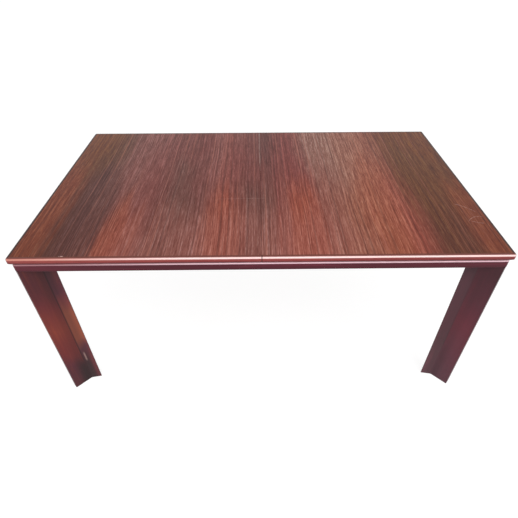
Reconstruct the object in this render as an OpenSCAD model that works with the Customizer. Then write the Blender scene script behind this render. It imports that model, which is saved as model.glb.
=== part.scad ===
// Extending dining table: two top halves slide apart over a fixed base,
// and a loose leaf lies inside the base. The origin is on the floor under the
// middle of the table, X runs along the table and the front edge faces -Y.

/* [Top] */
// Length of the closed top over its lippings
table_l = 1640; // [1500:10:1900]
// Width of the top over its lippings
table_w = 980; // [900:5:1100]
// Height of the top face above the floor
table_h = 730; // [700:5:780]
// Thickness of the top boards and of the leaf
top_t = 29; // [24:1:33]
// Width of the solid lipping round each board
lip_w = 11; // [10:1:20]
// Radius of the lipping's upper edge
lip_top_r = 8; // [4:0.5:9]
// Height and depth of the slope under the lipping
lip_undercut = 9.5; // [4:0.5:9.5]
// Corner radius of the top in plan
top_corner_r = 10; // [4:1:10]
// Bevel on the boards' upper edges at the seam
seam_bevel = 0.8; // [0.2:0.1:2]
// Gap between the closed halves
seam_gap = 0.4; // [0.2:0.1:1]

/* [Leaf] */
// Width of the loose leaf, which is also what the top opens by
leaf_w = 500; // [400:10:560]
// Diameter of the alignment dowels in the board edges
edge_dowel_d = 8; // [6:1:10]
// Depth of an alignment dowel in its own board
edge_dowel_in = 22; // [15:1:30]
// Length of an alignment dowel outside its board
edge_dowel_out = 9; // [6:1:10]
// Distance of the inner alignment dowels from the middle line
edge_dowel_near = 100; // [60:10:180]
// Distance of the outer alignment dowels from the middle line
edge_dowel_far = 400; // [250:10:420]

/* [Rim frame] */
// Overhang of the top beyond the rim's outer face
rim_inset = 8; // [4:0.5:20]
// Height of the rim frame
rim_h = 30.5; // [24:0.5:40]
// Radius of the rim's upper outer edge
rim_top_r = 7; // [3:0.5:12]
// Radius of the rim's lower outer edge
rim_low_r = 2; // [1:0.5:6]
// Corner radius of the rim in plan
rim_corner_r = 10; // [4:1:20]
// Running gap between the rim and the top
rim_gap = 0.5; // [0.3:0.1:1]

/* [Aprons] */
// Distance from the rim's outer face to the apron's outer face
apron_inset = 55; // [50:1:70]
// Thickness of the aprons and of the leg wings' ends
apron_t = 22; // [18:1:28]
// Height of the aprons
apron_h = 46; // [44:1:60]
// Diameter of the dowels between aprons and legs
apron_dowel_d = 10; // [8:1:12]
// Length of those dowels
apron_dowel_l = 40; // [32:2:44]
// Spacing of the two dowels in a joint
apron_dowel_gap = 22; // [16:1:26]

/* [Legs] */
// Thickness of the diagonal fin
fin_t = 20; // [16:1:24]
// Distance from the rim's corner point to the fin's end
fin_tip_gap = 5.5; // [4:0.5:12]
// Corner radius at the fin's end
fin_tip_r = 2; // [1:0.5:7.5]
// Distance from the rim's corner to the end of each wing
wing_reach = 104; // [98:1:125]
// How far a wing's inner corner lies back from its outer corner
wing_bevel = 18; // [14:1:22]
// Angle of a wing's outer face to the table's edge
wing_lean = 10; // [2:1:16]
// Radius of the hollow between fin and wing
valley_r = 18; // [6:1:30]
// Corner radius at a wing's end
wing_tip_r = 1.5; // [1:0.5:3]
// Radius in the leg's inner corner
leg_inner_r = 8; // [2:1:12]
// Diameter of a glide
glide_d = 16; // [12:1:18]
// Thickness of a glide
glide_h = 4; // [3:0.5:6]
// Depth of a glide in the leg
glide_sink = 3; // [1:0.5:3]
// Distance of the fin's glide from the fin's end
fin_glide_x = 24; // [14:1:40]
// Distance of a wing's glide from the wing's outer end
wing_glide_x = 22; // [20:1:28]

/* [Corner blocks] */
// Thickness of the diagonal block
block_t = 30; // [24:1:40]
// Height of the block
block_h = 32; // [26:1:32]
// Gap between a wing's end and the block along the apron
block_gap = 2; // [1:0.5:6]
// Diameter of the hanger bolt
bolt_d = 8; // [6:1:10]
// Depth of the bolt in the leg
bolt_in = 34; // [24:1:45]
// Length of bolt beyond the block
bolt_out = 16; // [12:1:24]
// Width of the nut across its flats
nut_w = 13; // [12:0.5:17]
// Height of the nut
nut_h = 6.5; // [5:0.5:9]
// Diameter of the washer
washer_d = 22; // [18:1:28]
// Thickness of the washer
washer_t = 1.6; // [1:0.1:3]

/* [Slides] */
// Gap between the stored leaf's dowels and the runners beside it
leaf_side_gap = 2; // [1.5:0.5:6]
// Thickness of the fixed guide
guide_t = 20; // [16:1:22]
// Length of the fixed guide
guide_l = 1200; // [1000:10:1300]
// Gap between the guide's top and the boards
guide_head = 2; // [1:0.5:5]
// Height of the guide's tongues
tongue_h = 8; // [6:0.5:10]
// Depth of the guide's tongues
tongue_d = 5; // [4:0.5:7]
// Distance from the guide's top to the tongues
tongue_drop = 10; // [6:0.5:12]
// Clearance round a tongue in its groove
tongue_gap = 0.5; // [0.3:0.1:1]
// Thickness of a runner
runner_t = 24; // [24:1:28]
// Height of a runner
runner_h = 40; // [36:1:46]
// Gap between a runner's side and the guide
runner_gap = 1; // [0.5:0.1:2]
// Gap between a runner and what passes over or under it
runner_rub = 0.5; // [0.3:0.1:1]
// Gap left at a runner's end when the table is open
runner_end_gap = 5; // [3:1:20]
// Diameter of a stop peg
peg_d = 8; // [6:0.5:9]
// Length of a stop peg in the runner
peg_in = 16; // [10:1:20]
// Length of a stop peg below the runner
peg_out = 13; // [8:1:20]
// Gap between a stop peg and the middle cross rail when the table is open
peg_gap = 0.3; // [0.2:0.1:1]

/* [Cross rails] */
// Thickness of a cross rail
rail_t = 24; // [20:1:32]
// Height of a cross rail
rail_h = 34; // [30:1:36]
// Distance of the outer cross rails from the stored leaf's ends
rail_set = 140; // [100:10:200]
// Depth of the housings in the aprons
housing_d = 6; // [4:0.5:8]

/* [Rack and pinion] */
// Tooth module
gear_module = 2.5; // [2.2:0.1:2.6]
// Thickness of pinion and rack
gear_face = 8; // [6:0.5:10]
// Play between the teeth along the pitch line
gear_play = 0.6; // [0.4:0.1:0.8]
// Radius of a pinion's pin
gear_pin_r = 3; // [2:0.5:4]
// Radial clearance of a pinion on its pin
gear_pin_gap = 0.05; // [0.03:0.01:0.1]
// Height of the racks above the runner's underside
rack_lift = 4; // [3.5:0.5:6]
// Width of the rack's bar behind the teeth
rack_back = 8; // [7:0.5:9]
// Length of the rack beyond the teeth in use at each end
rack_spare = 25; // [20:1:30]
// Gap at the rack's end in its rabbet
rack_end_gap = 0.2; // [0.1:0.1:1]

/* [Table locks] */
// Distance from a runner's side to the lever's pivot
lock_room = 25.5; // [25.5:0.5:40]
// Distance from the lever's pivot to the stud
lock_r = 24; // [23.5:0.5:24.5]
// Width of the lock's plates along the table
lock_plate_w = 22; // [20:1:23]
// Length of the lock's plates on the side away from the slides
lock_plate_out = 7.5; // [7:0.5:12]
// Length of the lock's plates towards the slides
lock_plate_in = 20; // [19:1:24]
// Thickness of the lock's plates
lock_plate_t = 2; // [1.5:0.5:3]
// Distance of the plates' screws from the pin along the table
lock_screw_x = 5.5; // [5:0.5:6]
// Distance of the plates' screws from the pin towards the slides
lock_screw_y = 14; // [13:0.5:14.5]
// Thickness of the lever
lever_t = 2.5; // [2:0.5:4]
// Clearance above, below and beside the lever
lever_gap = 0.4; // [0.3:0.1:0.6]
// Radius of the lever's pivot and of the stud
lock_pin_r = 2.5; // [2:0.5:3]
// Radius of the lever beyond the slot's middle
lever_rim = 5.5; // [5:0.1:6]
// Angle that the lever turns by from open to locked
lever_turn = 42; // [38:1:44]
// Height of the lever's knob
knob_h = 9; // [6:1:12]

/* [Screws] */
// Shank diameter of the screws in runners, guides and locks
screw_d = 4.5; // [4:0.5:5]
// Shank diameter of the screws in the racks
rack_screw_d = 3.5; // [3:0.5:4]
// Clearance round a shank
screw_gap = 0.1; // [0.05:0.05:0.2]
// Clearance round a glued dowel
dowel_gap = 0.1; // [0.05:0.05:0.2]
// Clearance round a dowel that slides into its hole
dowel_slide_gap = 0.3; // [0.2:0.05:0.5]
// Room beyond the end of a dowel that slides into its hole
dowel_room = 2; // [1:0.5:4]

/* [Hidden] */

$fn = 48;
eps = 0.5;

// Colours
wood = "#5c2420";
veneer = "#6b3328";
beech = "#c9a273";
steel = "#9a9c9e";
nylon = "#d8d4c8";

// Heights
board_z = table_h - top_t;
rim_z = board_z - rim_gap - rim_h;
leg_z = glide_h - glide_sink;
apron_z = rim_z - apron_h;
runner_z = board_z - runner_h;
rail_top = runner_z - runner_rub;
rail_z = rail_top - rail_h;
guide_top = board_z - guide_head;
tongue_z = guide_top - tongue_drop - tongue_h;
rack_z = runner_z + rack_lift;
rack_top = rack_z + gear_face;
lever_z = board_z - lock_plate_t - lever_gap - lever_t;
block_z = rail_top - block_h;

// Plan of the base
rim_l = table_l - 2 * rim_inset;
rim_wd = table_w - 2 * rim_inset;
inner = apron_inset + apron_t;
cavity_x = rim_l / 2 - inner;
cavity_y = rim_wd / 2 - inner;
long_apron_l = rim_l - 2 * wing_reach;
short_apron_l = rim_wd - 2 * wing_reach;
block_start = (inner + wing_reach + block_gap) / sqrt(2);
block_end = block_start + block_t;
bolt_start = inner * sqrt(2) - bolt_in;

// Slides
travel = leaf_w / 2;
runner_reach = cavity_x - travel - runner_end_gap;
runner_near = guide_t / 2 + runner_gap;
runner_far = runner_near + runner_t;
peg_x = rail_t / 2 + travel + peg_gap + peg_d / 2;
slide_y = leaf_w / 2 + edge_dowel_out + leaf_side_gap + runner_far;
rail_pitch = table_w / 2 - rail_set;

// Rack and pinion, where a multiple of four puts a tooth on each axis
gear_teeth = 12;
pitch_r = gear_module * gear_teeth / 2;
pitch = PI * gear_module;
rack_add = 0.68 * gear_module;
pinion_add = 0.85 * gear_module;
tooth_floor = 0.4;
pinion_r = pitch_r + pinion_add;
pinion_root = pitch_r - rack_add - tooth_floor;
pressure = 20;
rack_root_w = pinion_r + tooth_floor;
rack_far = rack_root_w + rack_back;
rabbet_head = 0.6;
rabbet_x = rack_spare + rack_end_gap;
pin_in_rail = 18;
pin_over = 10;
slot_gap = 0.8;
row_spaces = 3;
rack_screw_l = 18;
runner_screw_l = 42;
runner_screw_sink = 16;
runner_screw_ends = 30;
guide_screw_l = 52;
lock_screw_l = 14;
head_ratio = 1.9;
counterbore_d = head_ratio * screw_d + 4 * screw_gap;

// Table locks
lock_y = slide_y + runner_far + lock_room;
lock_set = lock_r / 2;
lock_head_t = 1.6;
lock_head_rim = 2.2;
lever_hub_r = 7.5;
lever_lead = 15;
lever_trail = 14;
lever_slot_r = lock_pin_r + lever_gap;
lever_slot_end = 10;
knob_r = 4;
knob_reach = 15;

// Turns a piece of the left half into its twin on the right half
module twin() {
    rotate([0, 0, 180])
        children();
}

// Places a piece drawn inward from a corner of the rim at any corner
module at_corner(side_x, side_y) {
    mirror([side_x > 0 ? 1 : 0, 0, 0])
        mirror([0, side_y > 0 ? 1 : 0, 0])
            translate([-rim_l / 2, -rim_wd / 2, 0])
                children();
}

// Repeats a piece at all four corners
module all_corners() {
    for (side_x = [-1, 1])
        for (side_y = [-1, 1])
            at_corner(side_x, side_y)
                children();
}

// Countersunk screw with its point upward and its head's face at z = 0
module screw(d, l) {
    head_d = head_ratio * d;
    head_h = (head_d - d) / 2;
    cylinder(d1 = head_d, d2 = d, h = head_h);
    cylinder(d = d, h = l - d);
    translate([0, 0, l - d])
        cylinder(d1 = d, d2 = d / 4, h = d);
}

// Hole that a screw of the same size passes into
module screw_hole(d, l) {
    head_d = head_ratio * d + 2 * screw_gap;
    head_h = (head_d - d) / 2;
    translate([0, 0, -screw_gap])
        cylinder(d1 = head_d, d2 = d, h = head_h);
    translate([0, 0, -screw_gap])
        cylinder(d = d + 2 * screw_gap, h = l + 2 * screw_gap);
}

// Direction of length one
function unit(v) = v / norm(v);

// Arc that rounds the corner b between its neighbours a and c
function corner_arc(a, b, c, r, steps = 8) =
    let(
        to_a = unit(a - b),
        to_c = unit(c - b),
        half = acos(to_a * to_c) / 2,
        middle = b + unit(to_a + to_c) * r / sin(half),
        first = b + to_a * r / tan(half) - middle,
        last = b + to_c * r / tan(half) - middle,
        from = atan2(first.y, first.x),
        turn = (atan2(last.y, last.x) - from + 540) % 360 - 180
    )
    [for (i = [0:steps]) middle + r * [cos(from + turn * i / steps), sin(from + turn * i / steps)]];

// Outline with each corner rounded by its own radius
function rounded(points, radii) =
    let(n = len(points))
    [for (i = [0:n - 1])
        for (p = corner_arc(points[(i + n - 1) % n], points[i], points[(i + 1) % n], radii[i])) p];

// Bar along X with its outer face on y = 0, rounded and mitred at the chosen ends.
// The child is its section: x runs inward from the outer face and y runs up.
module edge_bar(l, w, h, r, mitre_start, mitre_end) {
    from = mitre_start ? r : 0;
    to = mitre_end ? l - r : l;
    deep = w + eps;
    difference() {
        translate([from, 0, 0])
            rotate([90, 0, 90])
                linear_extrude(to - from)
                    children();
        if (mitre_start)
            translate([0, 0, -eps])
                linear_extrude(h + 2 * eps)
                    polygon([[r - eps, r], [r, r], [deep, deep], [r - eps, deep]]);
        if (mitre_end)
            translate([0, 0, -eps])
                linear_extrude(h + 2 * eps)
                    polygon([[l - r + eps, r], [l - r, r], [l - deep, deep], [l - r + eps, deep]]);
    }
    if (mitre_start)
        translate([r, r, 0])
            rotate([0, 0, 270])
                mirror([0, 1, 0])
                    edge_corner(r, h)
                        children();
    if (mitre_end)
        translate([l - r, r, 0])
            rotate([0, 0, 270])
                edge_corner(r, h)
                    children();
}

// Eighth of a turn of an edge section round its corner's middle
module edge_corner(r, h) {
    rotate_extrude(angle = 45, $fn = 96)
        intersection() {
            translate([r, 0])
                mirror([1, 0])
                    children();
            square([r, h]);
        }
}

// Corner piece that leaves a quarter round of radius r
module outer_spandrel(r) {
    difference() {
        translate([-eps, 0])
            square([r + eps, r + eps]);
        translate([r, 0])
            circle(r);
    }
}

// Section of the lippings, with a rounded nose and a slope below it
module lip_section() {
    difference() {
        square([lip_w, top_t]);
        translate([0, top_t - lip_top_r])
            outer_spandrel(lip_top_r);
        polygon([[-eps, -eps], [lip_undercut + eps, -eps], [-eps, lip_undercut + eps]]);
    }
}

// Section of the rim frame
module rim_section() {
    difference() {
        square([inner, rim_h]);
        translate([0, rim_h - rim_top_r])
            outer_spandrel(rim_top_r);
        translate([0, rim_low_r])
            mirror([0, 1])
                outer_spandrel(rim_low_r);
    }
}

// Outline of a leg: a diagonal fin and two wings in line with the aprons
module leg_outline() {
    diag = sqrt(2);
    slope = tan(wing_lean);
    tip = [(fin_tip_gap + fin_t / 2) / diag, (fin_tip_gap - fin_t / 2) / diag];
    valley_x = (apron_inset - slope * wing_reach + fin_t / diag) / (1 - slope);
    valley = [valley_x, valley_x - fin_t / diag];
    wing_out = [wing_reach, apron_inset];
    wing_in = [wing_reach - wing_bevel, inner];
    half = [tip, valley, wing_out, wing_in];
    radii = [fin_tip_r, valley_r, wing_tip_r, wing_tip_r];
    other = [for (i = [3:-1:0]) [half[i].y, half[i].x]];
    other_radii = [for (i = [3:-1:0]) radii[i]];
    polygon(rounded(concat(half, [[inner, inner]], other), concat(radii, [leg_inner_r], other_radii)));
}

// The two dowels of the joint between a wing and the apron along X, or their holes
module wing_dowels(r, l) {
    for (side = [-1, 1])
        translate([wing_reach - wing_bevel / 2 - l / 2, apron_inset + apron_t / 2, apron_z])
            translate([0, 0, (apron_h + side * apron_dowel_gap) / 2])
                rotate([0, 90, 0])
                    cylinder(r = r, h = l);
}

// Swaps the two directions that run inward from a corner
module swapped() {
    mirror([1, -1, 0])
        children();
}

// Points along the diagonal from the rim's corner point, with Z along the diagonal
module on_diagonal(distance) {
    rotate([0, 0, 45])
        translate([distance, 0, block_z + block_h / 2])
            rotate([0, 90, 0])
                children();
}

// Leg at a corner of the rim
module leg(side_x, side_y) {
    color(wood)
        at_corner(side_x, side_y)
            difference() {
                translate([0, 0, leg_z])
                    linear_extrude(rim_z - leg_z)
                        leg_outline();
                glides_at()
                    translate([0, 0, -eps])
                        cylinder(d = glide_d + 2 * dowel_gap, h = glide_h + dowel_gap + eps);
                wing_dowels(apron_dowel_d / 2 + dowel_gap, apron_dowel_l + 2 * dowel_gap);
                swapped()
                    wing_dowels(apron_dowel_d / 2 + dowel_gap, apron_dowel_l + 2 * dowel_gap);
                on_diagonal(bolt_start - dowel_gap)
                    cylinder(d = bolt_d + 2 * dowel_gap, h = bolt_in + leg_inner_r);
            }
}

module leg_front_left() {
    leg(-1, -1);
}

module leg_front_right() {
    leg(1, -1);
}

module leg_back_left() {
    leg(-1, 1);
}

module leg_back_right() {
    leg(1, 1);
}

// Apron of a given outer length, with its outer face on y = 0 and its ends cut to the wings
module apron_bar(l) {
    hole_d = apron_dowel_d + 2 * dowel_gap;
    hole_l = apron_dowel_l / 2 + dowel_gap;
    out = l / 2;
    in = l / 2 + wing_bevel;
    difference() {
        translate([0, 0, apron_z])
            linear_extrude(apron_h)
                polygon([[-out, 0], [out, 0], [in, apron_t], [-in, apron_t]]);
        for (end = [-1, 1])
            for (side = [-1, 1])
                translate([end * (out + wing_bevel / 2 - hole_l), apron_t / 2, apron_z])
                    translate([0, 0, (apron_h + side * apron_dowel_gap) / 2])
                        rotate([0, 90 * end, 0])
                            cylinder(d = hole_d, h = hole_l + wing_bevel);
    }
}

// Long apron, housed for the ends of the cross rails
module long_apron() {
    translate([0, -rim_wd / 2 + apron_inset, 0])
        difference() {
            apron_bar(long_apron_l);
            for (i = [-1:1])
                translate([i * rail_pitch, apron_t - housing_d - dowel_gap, rail_z])
                    translate([-rail_t / 2 - dowel_gap, 0, 0])
                        cube([rail_t + 2 * dowel_gap, housing_d + dowel_gap + eps, apron_h]);
        }
}

// Short apron at the left end
module short_apron() {
    translate([-rim_l / 2 + apron_inset, 0, 0])
        rotate([0, 0, -90])
            apron_bar(short_apron_l);
}

module apron_front() {
    color(wood)
        long_apron();
}

module apron_back() {
    color(wood)
        twin()
            long_apron();
}

module apron_left() {
    color(wood)
        short_apron();
}

module apron_right() {
    color(wood)
        twin()
            short_apron();
}

// Mitred rail of the rim frame, of a given outer length, with its outer face on y = 0
module rim_bar(l) {
    translate([-l / 2, 0, rim_z])
        edge_bar(l, inner, rim_h, rim_corner_r, true, true)
            rim_section();
}

module rim_front() {
    color(wood)
        translate([0, -rim_wd / 2, 0])
            rim_bar(rim_l);
}

module rim_back() {
    color(wood)
        twin()
            translate([0, -rim_wd / 2, 0])
                rim_bar(rim_l);
}

module rim_left() {
    color(wood)
        translate([-rim_l / 2, 0, 0])
            rotate([0, 0, -90])
                rim_bar(rim_wd);
}

module rim_right() {
    color(wood)
        twin()
            translate([-rim_l / 2, 0, 0])
                rotate([0, 0, -90])
                    rim_bar(rim_wd);
}

// Diagonal blocks behind the legs
module corner_blocks() {
    near = wing_reach + block_gap;
    far = near + block_t * sqrt(2);
    color(beech)
        all_corners()
            difference() {
                translate([0, 0, block_z])
                    linear_extrude(block_h)
                        polygon([[near, inner], [far, inner], [inner, far], [inner, near]]);
                on_diagonal(block_start - eps)
                    cylinder(d = bolt_d + 2 * dowel_gap, h = block_t + 2 * eps);
            }
}

// Bolts that draw the legs to the corner blocks
module hanger_bolts() {
    color(steel)
        all_corners()
            on_diagonal(bolt_start)
                cylinder(d = bolt_d, h = block_end + bolt_out - bolt_start);
}

// Nuts and washers on the hanger bolts
module hanger_nuts() {
    color(steel)
        all_corners() {
            on_diagonal(block_end)
                difference() {
                    cylinder(d = washer_d, h = washer_t);
                    translate([0, 0, -eps])
                        cylinder(d = bolt_d + 2 * dowel_gap, h = washer_t + 2 * eps);
                }
            on_diagonal(block_end + washer_t)
                difference() {
                    cylinder(d = nut_w / cos(30), h = nut_h, $fn = 6);
                    translate([0, 0, -eps])
                        cylinder(d = bolt_d + 2 * dowel_gap, h = nut_h + 2 * eps);
                }
        }
}

// Dowels in the joints between aprons and legs
module apron_dowels() {
    color(beech)
        all_corners() {
            wing_dowels(apron_dowel_d / 2, apron_dowel_l);
            swapped()
                wing_dowels(apron_dowel_d / 2, apron_dowel_l);
        }
}

// Places a glide or its recess under the fin and under each wing of a leg
module glides_at() {
    fin_glide = (fin_tip_gap + fin_glide_x) / sqrt(2);
    wing_glide = [wing_reach - wing_glide_x, apron_inset + apron_t / 2];
    for (place = [[fin_glide, fin_glide], wing_glide, [wing_glide.y, wing_glide.x]])
        translate([place.x, place.y, 0])
            children();
}

// Glides under the legs
module glides() {
    color(nylon)
        all_corners()
            glides_at()
                cylinder(d = glide_d, h = glide_h);
}

// Cross rail housed in the long aprons
module cross_rail(x) {
    reach = cavity_y + housing_d;
    translate([x - rail_t / 2, -reach, rail_z])
        cube([rail_t, 2 * reach, rail_h]);
}

// Outer cross rail with the holes for the guide screws
module outer_rail(x) {
    color(beech)
        difference() {
            cross_rail(x);
            for (side = [-1, 1])
                translate([x, side * slide_y, rail_z])
                    screw_hole(screw_d, rail_h + eps);
        }
}

module cross_rail_left() {
    outer_rail(-rail_pitch);
}

module cross_rail_middle() {
    color(beech)
        difference() {
            cross_rail(0);
            for (side = [-1, 1])
                translate([0, side * slide_y, rail_top - pin_in_rail - gear_pin_gap])
                    cylinder(r = gear_pin_r + gear_pin_gap, h = pin_in_rail + gear_pin_gap + eps);
        }
}

module cross_rail_right() {
    outer_rail(rail_pitch);
}

// Fixed guide with a tongue on each side and a slot for its pinion
module guide(y) {
    slot = 2 * (pinion_r + slot_gap);
    color(beech)
        translate([0, y, 0])
            difference() {
                union() {
                    translate([-guide_l / 2, -guide_t / 2, rail_top])
                        cube([guide_l, guide_t, guide_top - rail_top]);
                    translate([-guide_l / 2, -guide_t / 2 - tongue_d, tongue_z])
                        cube([guide_l, guide_t + 2 * tongue_d, tongue_h]);
                }
                translate([-slot / 2, -guide_t, rack_z - slot_gap])
                    cube([slot, 2 * guide_t, gear_face + 2 * slot_gap]);
                translate([0, 0, rail_top - eps])
                    cylinder(r = gear_pin_r + gear_pin_gap, h = rack_top + pin_over + 2 * eps - rail_top);
                for (side = [-1, 1])
                    translate([side * rail_pitch, 0, rail_z])
                        screw_hole(screw_d, guide_screw_l);
            }
}

module guide_front() {
    guide(-slide_y);
}

module guide_back() {
    guide(slide_y);
}

// Screws through the outer cross rails into the guides
module guide_screws() {
    color(steel)
        for (x = [-rail_pitch, rail_pitch])
            for (y = [-slide_y, slide_y])
                translate([x, y, rail_z])
                    screw(screw_d, guide_screw_l);
}

// Pins that carry the pinions
module pinion_pins() {
    color(steel)
        for (y = [-slide_y, slide_y])
            translate([0, y, rail_top - pin_in_rail])
                cylinder(r = gear_pin_r, h = rack_top + pin_over - rail_top + pin_in_rail);
}

// Places a dowel or its hole at a seam edge, pointing along +X out of the edge at x = 0
module edge_dowels_at(side) {
    for (y = [edge_dowel_near, edge_dowel_far])
        translate([0, side * y, board_z + top_t / 2])
            rotate([0, 90, 0])
                children();
}

// Alignment dowels of a seam edge at x = 0
module edge_dowels() {
    edge_dowels_at(-1)
        translate([0, 0, -edge_dowel_in])
            cylinder(d = edge_dowel_d, h = edge_dowel_in + edge_dowel_out);
}

// Holes for a seam edge's own dowels and for those of the edge that it meets
module edge_dowel_holes() {
    edge_dowels_at(-1)
        translate([0, 0, -edge_dowel_in - dowel_gap])
            cylinder(d = edge_dowel_d + 2 * dowel_gap, h = edge_dowel_in + dowel_gap + eps);
    edge_dowels_at(1)
        translate([0, 0, -edge_dowel_out - dowel_room])
            cylinder(d = edge_dowel_d + 2 * dowel_slide_gap, h = edge_dowel_out + dowel_room + eps);
}

// Board from x = -l to the seam edge at x = 0, with the edge bevelled
module board_blank(l, bevel_both) {
    w = table_w - 2 * lip_w;
    far = bevel_both ? [[-l, top_t - seam_bevel], [-l + seam_bevel, top_t]] : [[-l, top_t]];
    near = [[-seam_bevel, top_t], [0, top_t - seam_bevel], [0, 0], [-l, 0]];
    translate([0, w / 2, board_z])
        rotate([90, 0, 0])
            linear_extrude(w)
                polygon(concat(far, near));
}

// Moves a piece drawn at a seam edge at x = 0 to the left half's seam edge
module at_left_seam() {
    translate([-seam_gap / 2, 0, 0])
        children();
}

// Screws of the left half's runners, in their places
module runner_screws_at() {
    span = runner_reach - rabbet_x - 2 * runner_screw_ends;
    for (y = [-slide_y, slide_y])
        for (i = [0:row_spaces])
            translate([
                -rabbet_x - runner_screw_ends - i * span / row_spaces,
                y - (runner_near + tongue_d + tongue_gap + runner_far) / 2,
                runner_z + runner_screw_sink
            ])
                children();
}

// Screws of the left half's lock plate and catch
module lock_screws_at() {
    for (side = [-1, 1])
        for (x = [-lock_screw_x, lock_screw_x])
            translate([x - lock_set, side * (lock_y - lock_screw_y), board_z - lock_plate_t])
                children();
}

// Left half's board
module left_board_solid() {
    difference() {
        at_left_seam()
            board_blank(table_l / 2 - seam_gap / 2 - lip_w, false);
        at_left_seam()
            edge_dowel_holes();
        runner_screws_at()
            screw_hole(screw_d, runner_screw_l);
        lock_screws_at()
            screw_hole(screw_d, lock_screw_l);
    }
}

// Lipping on the left half's front edge
module front_lipping_solid() {
    l = table_l / 2 - seam_gap / 2;
    translate([-table_l / 2, -table_w / 2, board_z])
        edge_bar(l, lip_w, top_t, top_corner_r, true, false)
            lip_section();
}

// Lipping on the left end
module end_lipping_solid() {
    translate([-table_l / 2, table_w / 2, board_z])
        rotate([0, 0, -90])
            edge_bar(table_w, lip_w, top_t, top_corner_r, true, true)
                lip_section();
}

// Lipping on the left half's back edge
module back_lipping_solid() {
    l = table_l / 2 - seam_gap / 2;
    translate([-seam_gap / 2, table_w / 2, board_z])
        rotate([0, 0, 180])
            edge_bar(l, lip_w, top_t, top_corner_r, false, true)
                lip_section();
}

// Runner of the left half beside the guide at a given y
module runner_solid(y) {
    translate([0, y, 0])
        difference() {
            translate([-runner_reach, -runner_far, runner_z])
                cube([2 * runner_reach, runner_t, runner_h]);
            translate([-seam_gap, -runner_far - eps, board_z - runner_rub])
                cube([runner_reach + 2 * eps, runner_t + 2 * eps, runner_rub + eps]);
            translate([
                -runner_reach - eps,
                -guide_t / 2 - tongue_d - tongue_gap,
                tongue_z - tongue_gap
            ])
                cube([2 * runner_reach + 2 * eps, tongue_d + tongue_gap, tongue_h + 2 * tongue_gap]);
            translate([-rabbet_x, -rack_far, runner_z - eps])
                cube([runner_reach + rabbet_x + eps, rack_far, rack_top + rabbet_head + eps - runner_z]);
            translate([peg_x, -(rack_far + runner_far) / 2, runner_z - eps])
                cylinder(d = peg_d + 2 * dowel_gap, h = peg_in + dowel_gap + eps);
            translate([0, -y, 0]) {
                translate([0, 0, -runner_screw_sink])
                    runner_screws_at()
                        cylinder(d = counterbore_d, h = runner_screw_sink + screw_gap);
                runner_screws_at()
                    screw_hole(screw_d, runner_screw_l);
                rack_screws_at()
                    screw_hole(rack_screw_d, rack_screw_l);
            }
        }
}

// Screws of the left half's racks, in their places
module rack_screws_at() {
    for (y = [-slide_y, slide_y])
        for (i = [0:row_spaces])
            translate([i * travel / row_spaces, y - (rack_root_w + rack_far) / 2, rack_z])
                children();
}

// Section of a rack from the pinion's middle line outward, with a tooth space at x = 0
module rack_outline() {
    count = ceil((travel + 2 * rack_spare) / pitch);
    first = -floor(rack_spare / pitch);
    half_base = (pitch / 2 - gear_play / 2) / 2 + (pinion_add + tooth_floor) * tan(pressure);
    half_tip = (pitch / 2 - gear_play / 2) / 2 - rack_add * tan(pressure);
    translate([-rack_spare, -rack_far])
        square([travel + 2 * rack_spare, rack_back]);
    for (i = [first:first + count - 2])
        translate([(i + 0.5) * pitch, 0])
            polygon([
                [-half_base, -rack_root_w - eps],
                [half_base, -rack_root_w - eps],
                [half_base, -rack_root_w],
                [half_tip, -pitch_r + rack_add],
                [-half_tip, -pitch_r + rack_add],
                [-half_base, -rack_root_w]
            ]);
}

// Rack of the left half beside the guide at a given y
module rack_solid(y) {
    difference() {
        translate([0, y, rack_z])
            linear_extrude(gear_face)
                rack_outline();
        rack_screws_at()
            screw_hole(rack_screw_d, rack_screw_l);
    }
}

// Angle between the involute's start and the point at radius r, in degrees
function involute_angle(base, r) =
    let(t = sqrt(r * r / (base * base) - 1))
    t * 180 / PI - atan(t);

// One flank of a pinion tooth, from root to tip, as [radius, half angle] pairs
function flank() =
    let(
        base = pitch_r * cos(pressure),
        at_pitch = (pitch / 2 - gear_play / 2) / 2 / pitch_r * 180 / PI,
        at_base = at_pitch + involute_angle(base, pitch_r),
        steps = 5
    )
    concat(
        [[pinion_root, at_base]],
        [for (i = [0:steps])
            let(r = base + (pinion_r - base) * i / steps)
            [r, at_base - involute_angle(base, r)]]
    );

// Outline of a pinion with a tooth on each axis
module pinion_outline() {
    side = flank();
    n = len(side);
    polygon([
        for (k = [0:gear_teeth - 1])
            for (i = [0:2 * n - 1])
                let(
                    p = i < n ? side[i] : side[2 * n - 1 - i],
                    a = k * 360 / gear_teeth + (i < n ? -p[1] : p[1])
                )
                p[0] * [cos(a), sin(a)]
    ]);
}

// Pinion on its pin at a given y
module pinion(y) {
    color(steel)
        translate([0, y, rack_z])
            difference() {
                linear_extrude(gear_face)
                    pinion_outline();
                translate([0, 0, -eps])
                    cylinder(r = gear_pin_r + gear_pin_gap, h = gear_face + 2 * eps);
            }
}

module pinion_front() {
    pinion(-slide_y);
}

module pinion_back() {
    pinion(slide_y);
}

// Stop pegs of the left half's runners
module stop_pegs_solid() {
    for (y = [-slide_y, slide_y])
        translate([peg_x, y - (rack_far + runner_far) / 2, runner_z - peg_out])
            cylinder(d = peg_d, h = peg_in + peg_out);
}

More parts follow.
